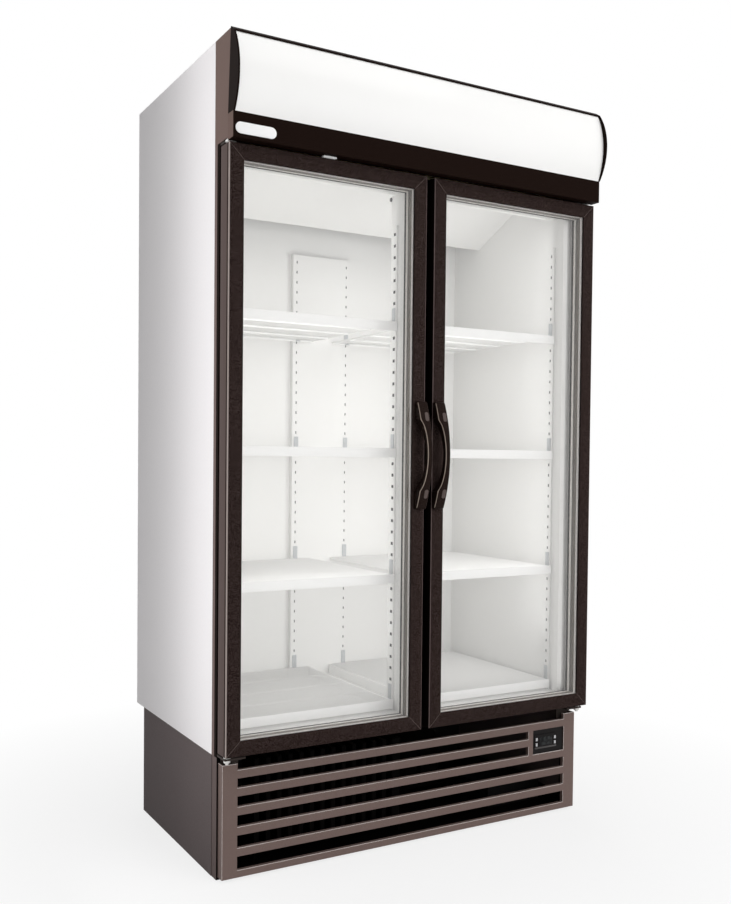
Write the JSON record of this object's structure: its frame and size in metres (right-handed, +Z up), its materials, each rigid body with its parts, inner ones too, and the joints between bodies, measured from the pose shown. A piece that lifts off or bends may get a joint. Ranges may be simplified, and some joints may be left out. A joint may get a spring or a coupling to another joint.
{
  "type": "upright glass door display freezer",
  "caption": "Upright glass-door display freezer with a lit sign canopy, hinged doors, wire shelves, a slatted front grille and cooling machinery in its base.",
  "frame": {"origin": "middle of the footprint, on the floor", "axes": "+Z up, the doors face -Y, +X to the right seen from the front"},
  "size_m": [1.129, 0.749, 2.03],
  "materials": {
    "white_steel": "smooth white enamel on sheet steel",
    "liner_white": "smooth white inner sheet",
    "dark_brown": "fine textured dark brown powder coat",
    "canopy_brown": "brown powder coat",
    "black_plastic": "black moulded plastic",
    "taupe_metal": "warm grey metallic paint",
    "sign_white": "opal acrylic sheet",
    "clear_glass": "clear float glass",
    "pale_aluminium": "satin aluminium",
    "pale_plastic": "pale grey extruded plastic",
    "grey_rubber": "soft grey gasket",
    "foam": "blown foam",
    "zinc_steel": "bright zinc plate",
    "white_wire": "white coated wire",
    "lamp_glass": "white lamp tube",
    "machine_black": "black enamel",
    "grey_plastic": "grey moulded plastic",
    "silver_button": "silver painted button"
  },
  "bodies": {
    "cabinet": {"left_side_panel": "white_steel", "right_side_panel": "white_steel", "top_panel": "white_steel", "back_panel": "white_steel", "inner_liner": "liner_white", "mullion_post": "liner_white", "evaporator_cover": "liner_white", "rear_slot_panel": "liner_white", "shelf_pilasters": "liner_white", "insulation_foam": "foam", "breaker_strips": "dark_brown", "fascia": "dark_brown", "canopy_tray": "dark_brown", "canopy_side_panels": "canopy_brown", "end_cap_left": "black_plastic", "end_cap_right": "black_plastic", "controller": "black_plastic", "sign_panel": "sign_white", "sign_lamp": "lamp_glass", "front_grille": "taupe_metal", "base_side_panels": "taupe_metal", "base_pan": "machine_black", "compressor": "machine_black", "rear_cover": "machine_black", "evaporator_coil": "pale_aluminium", "condenser": "pale_aluminium", "hinge_brackets": "zinc_steel", "shelf_clips": "zinc_steel", "evaporator_fan_motors": "zinc_steel", "condenser_fan_motor": "zinc_steel", "floor_decks": "white_wire", "shelf_left_lower": "white_wire", "shelf_left_middle": "white_wire", "shelf_left_upper": "white_wire", "shelf_right_lower": "white_wire", "shelf_right_middle": "white_wire", "shelf_right_upper": "white_wire", "drain_pan": "grey_plastic"},
    "left_door": {"left_door_frame": "dark_brown", "left_door_outer_pane": "clear_glass", "left_door_inner_pane": "clear_glass", "left_door_spacer": "pale_aluminium", "left_door_glazing_bead": "pale_plastic", "left_door_gasket": "grey_rubber", "left_door_handle": "black_plastic"},
    "right_door": {"right_door_frame": "dark_brown", "right_door_outer_pane": "clear_glass", "right_door_inner_pane": "clear_glass", "right_door_spacer": "pale_aluminium", "right_door_glazing_bead": "pale_plastic", "right_door_gasket": "grey_rubber", "right_door_handle": "black_plastic"},
    "evaporator_fan_left": {"evaporator_fan_left": "grey_plastic"},
    "evaporator_fan_right": {"evaporator_fan_right": "grey_plastic"},
    "condenser_fan": {"condenser_fan": "grey_plastic"},
    "button_left_upper": {"button_left_upper": "silver_button"},
    "button_left_lower": {"button_left_lower": "silver_button"},
    "button_right_upper": {"button_right_upper": "silver_button"},
    "button_right_lower": {"button_right_lower": "silver_button"}
  },
  "joints": [
    {"name": "left_door_hinge", "type": "hinge", "parent": "cabinet", "child": "left_door", "pos_m": [-0.5505, -0.297, 0.316], "axis": [0, 0, -1], "range_deg": [0, 110]},
    {"name": "right_door_hinge", "type": "hinge", "parent": "cabinet", "child": "right_door", "pos_m": [0.5505, -0.297, 0.316], "axis": [0, 0, 1], "range_deg": [0, 110]},
    {"name": "evaporator_fan_left_spin", "type": "hinge", "parent": "cabinet", "child": "evaporator_fan_left", "pos_m": [-0.2496, -0.10351, 1.86227], "axis": [0, 0.4167, 0.9091], "continuous": true},
    {"name": "evaporator_fan_right_spin", "type": "hinge", "parent": "cabinet", "child": "evaporator_fan_right", "pos_m": [0.2496, -0.10351, 1.86227], "axis": [0, 0.4167, 0.9091], "continuous": true},
    {"name": "condenser_fan_spin", "type": "hinge", "parent": "cabinet", "child": "condenser_fan", "pos_m": [-0.2153, -0.1015, 0.142], "axis": [0, 1, 0], "continuous": true},
    {"name": "button_left_upper_press", "type": "slide", "parent": "cabinet", "child": "button_left_upper", "axis": [0, 1, 0], "range_m": [0, 0.0012], "stiffness_N_per_m": 600},
    {"name": "button_left_lower_press", "type": "slide", "parent": "cabinet", "child": "button_left_lower", "axis": [0, 1, 0], "range_m": [0, 0.0012], "stiffness_N_per_m": 600},
    {"name": "button_right_upper_press", "type": "slide", "parent": "cabinet", "child": "button_right_upper", "axis": [0, 1, 0], "range_m": [0, 0.0012], "stiffness_N_per_m": 600},
    {"name": "button_right_lower_press", "type": "slide", "parent": "cabinet", "child": "button_right_lower", "axis": [0, 1, 0], "range_m": [0, 0.0012], "stiffness_N_per_m": 600}
  ]
}
